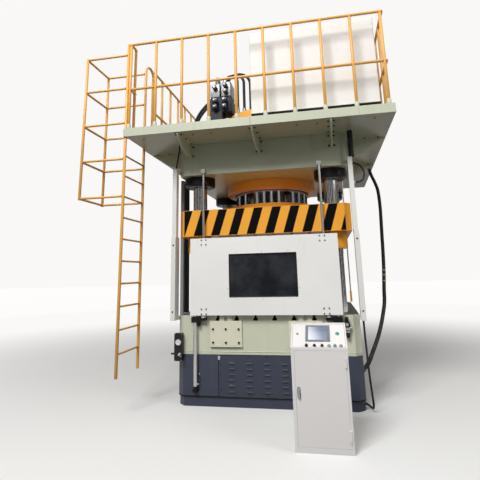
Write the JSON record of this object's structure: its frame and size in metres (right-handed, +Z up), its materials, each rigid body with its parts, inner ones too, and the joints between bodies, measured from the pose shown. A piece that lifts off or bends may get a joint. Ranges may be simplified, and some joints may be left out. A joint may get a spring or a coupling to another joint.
{
  "type": "hydraulic press",
  "caption": "Four-column hydraulic press: T-slotted bed, guided slide and ram, lifting guard door, service deck with railings and caged ladder, louvred skirt and separate console.",
  "frame": {"origin": "on the floor, midway between the four columns, on the underside of the plinth", "axes": "+Z up, +X to the right of an operator at the console, +Y from the operator to the back"},
  "size_m": [4.1012, 5.1423, 4.763],
  "materials": {
    "cream_paint": "semi-gloss machine enamel",
    "slate_paint": "semi-gloss machine enamel",
    "yellow_paint": "semi-gloss machine enamel",
    "rail_paint": "semi-gloss enamel on tube",
    "white_paint": "fine-textured powder coat",
    "hard_chrome": "ground and polished",
    "bright_steel": "drawn bar",
    "black_steel": "blackened steel",
    "grey_metal": "satin anodised",
    "dark_plastic": "moulded, fine grain",
    "black_rubber": "cable sheath",
    "smoked_acrylic": "polished sheet",
    "screen_glass": "display in a grey bezel",
    "button_black": "moulded button",
    "button_grey": "moulded button",
    "button_green": "moulded button"
  },
  "bodies": {
    "frame": {"base_skirt": "slate_paint", "louvre_panel": "slate_paint", "bed": "cream_paint", "bed_cover_left": "cream_paint", "bed_cover_right": "cream_paint", "column_front_left": "hard_chrome", "column_front_right": "hard_chrome", "column_rear_left": "hard_chrome", "column_rear_right": "hard_chrome", "column_collar_front_left": "black_steel", "column_collar_front_right": "black_steel", "column_collar_rear_left": "black_steel", "column_collar_rear_right": "black_steel", "crown": "cream_paint", "main_cylinder": "yellow_paint", "position_rod": "bright_steel", "deck": "cream_paint", "front_gusset_left": "cream_paint", "front_gusset_middle": "cream_paint", "front_gusset_right": "cream_paint", "front_railing": "rail_paint", "rear_railing": "rail_paint", "left_railing": "rail_paint", "right_railing": "rail_paint", "ladder": "rail_paint", "ladder_cage": "rail_paint", "pump_enclosure": "white_paint", "valve_block": "grey_metal", "guide_rod_left": "bright_steel", "guide_rod_right": "bright_steel", "lower_bracket_left": "black_steel", "lower_bracket_right": "black_steel", "lift_cylinder_left": "bright_steel", "lift_cylinder_right": "bright_steel", "side_post_left": "white_paint", "side_post_right": "white_paint", "side_bar_left": "grey_metal", "cable_duct_left": "dark_plastic", "gauge_panel": "dark_plastic", "air_valve": "dark_plastic", "console_body": "white_paint", "console_screen": "screen_glass", "post_cable_left": "black_rubber", "post_conduit_right": "dark_plastic", "crown_cable_loop": "black_rubber", "power_hose": "black_rubber", "floor_cable": "black_rubber"},
    "pressing_slide": {"slide": "yellow_paint", "main_ram": "hard_chrome"},
    "guard": {"guard_door": "white_paint", "door_window": "smoked_acrylic", "lift_rod_left": "hard_chrome", "lift_rod_right": "hard_chrome"},
    "console_door_leaf": {"console_door": "white_paint"},
    "console_handle": {"door_handle": "bright_steel"},
    "button_1": {"push_button_1": "button_black"},
    "button_2": {"push_button_2": "button_black"},
    "button_3": {"push_button_3": "button_grey"},
    "button_4": {"push_button_4": "button_green"},
    "button_5": {"push_button_5": "button_grey"}
  },
  "joints": [
    {"name": "slide_stroke", "type": "slide", "parent": "frame", "child": "pressing_slide", "axis": [0, 0, -1], "range_m": [0, 0.7]},
    {"name": "guard_lift", "type": "slide", "parent": "frame", "child": "guard", "axis": [0, 0, 1], "range_m": [0, 0.65]},
    {"name": "console_door_hinge", "type": "hinge", "parent": "frame", "child": "console_door_leaf", "pos_m": [0.917, -2.3473, 0.455], "axis": [0, 0, 1], "range_deg": [0, 110]},
    {"name": "door_handle_turn", "type": "hinge", "parent": "console_door_leaf", "child": "console_handle", "pos_m": [0.471, -2.345, 0.52], "axis": [0, 1, 0], "range_deg": [0, 90]},
    {"name": "button_1_press", "type": "slide", "parent": "frame", "child": "button_1", "axis": [0, 0.6207, -0.784], "range_m": [0, 0.004], "stiffness_N_per_m": 600, "springref_m": -0.001},
    {"name": "button_2_press", "type": "slide", "parent": "frame", "child": "button_2", "axis": [0, 0.6207, -0.784], "range_m": [0, 0.004], "stiffness_N_per_m": 600, "springref_m": -0.001},
    {"name": "button_3_press", "type": "slide", "parent": "frame", "child": "button_3", "axis": [0, 0.6207, -0.784], "range_m": [0, 0.004], "stiffness_N_per_m": 600, "springref_m": -0.001},
    {"name": "button_4_press", "type": "slide", "parent": "frame", "child": "button_4", "axis": [0, 0.6207, -0.784], "range_m": [0, 0.004], "stiffness_N_per_m": 600, "springref_m": -0.001},
    {"name": "button_5_press", "type": "slide", "parent": "frame", "child": "button_5", "axis": [0, 0.6207, -0.784], "range_m": [0, 0.004], "stiffness_N_per_m": 600, "springref_m": -0.001}
  ]
}
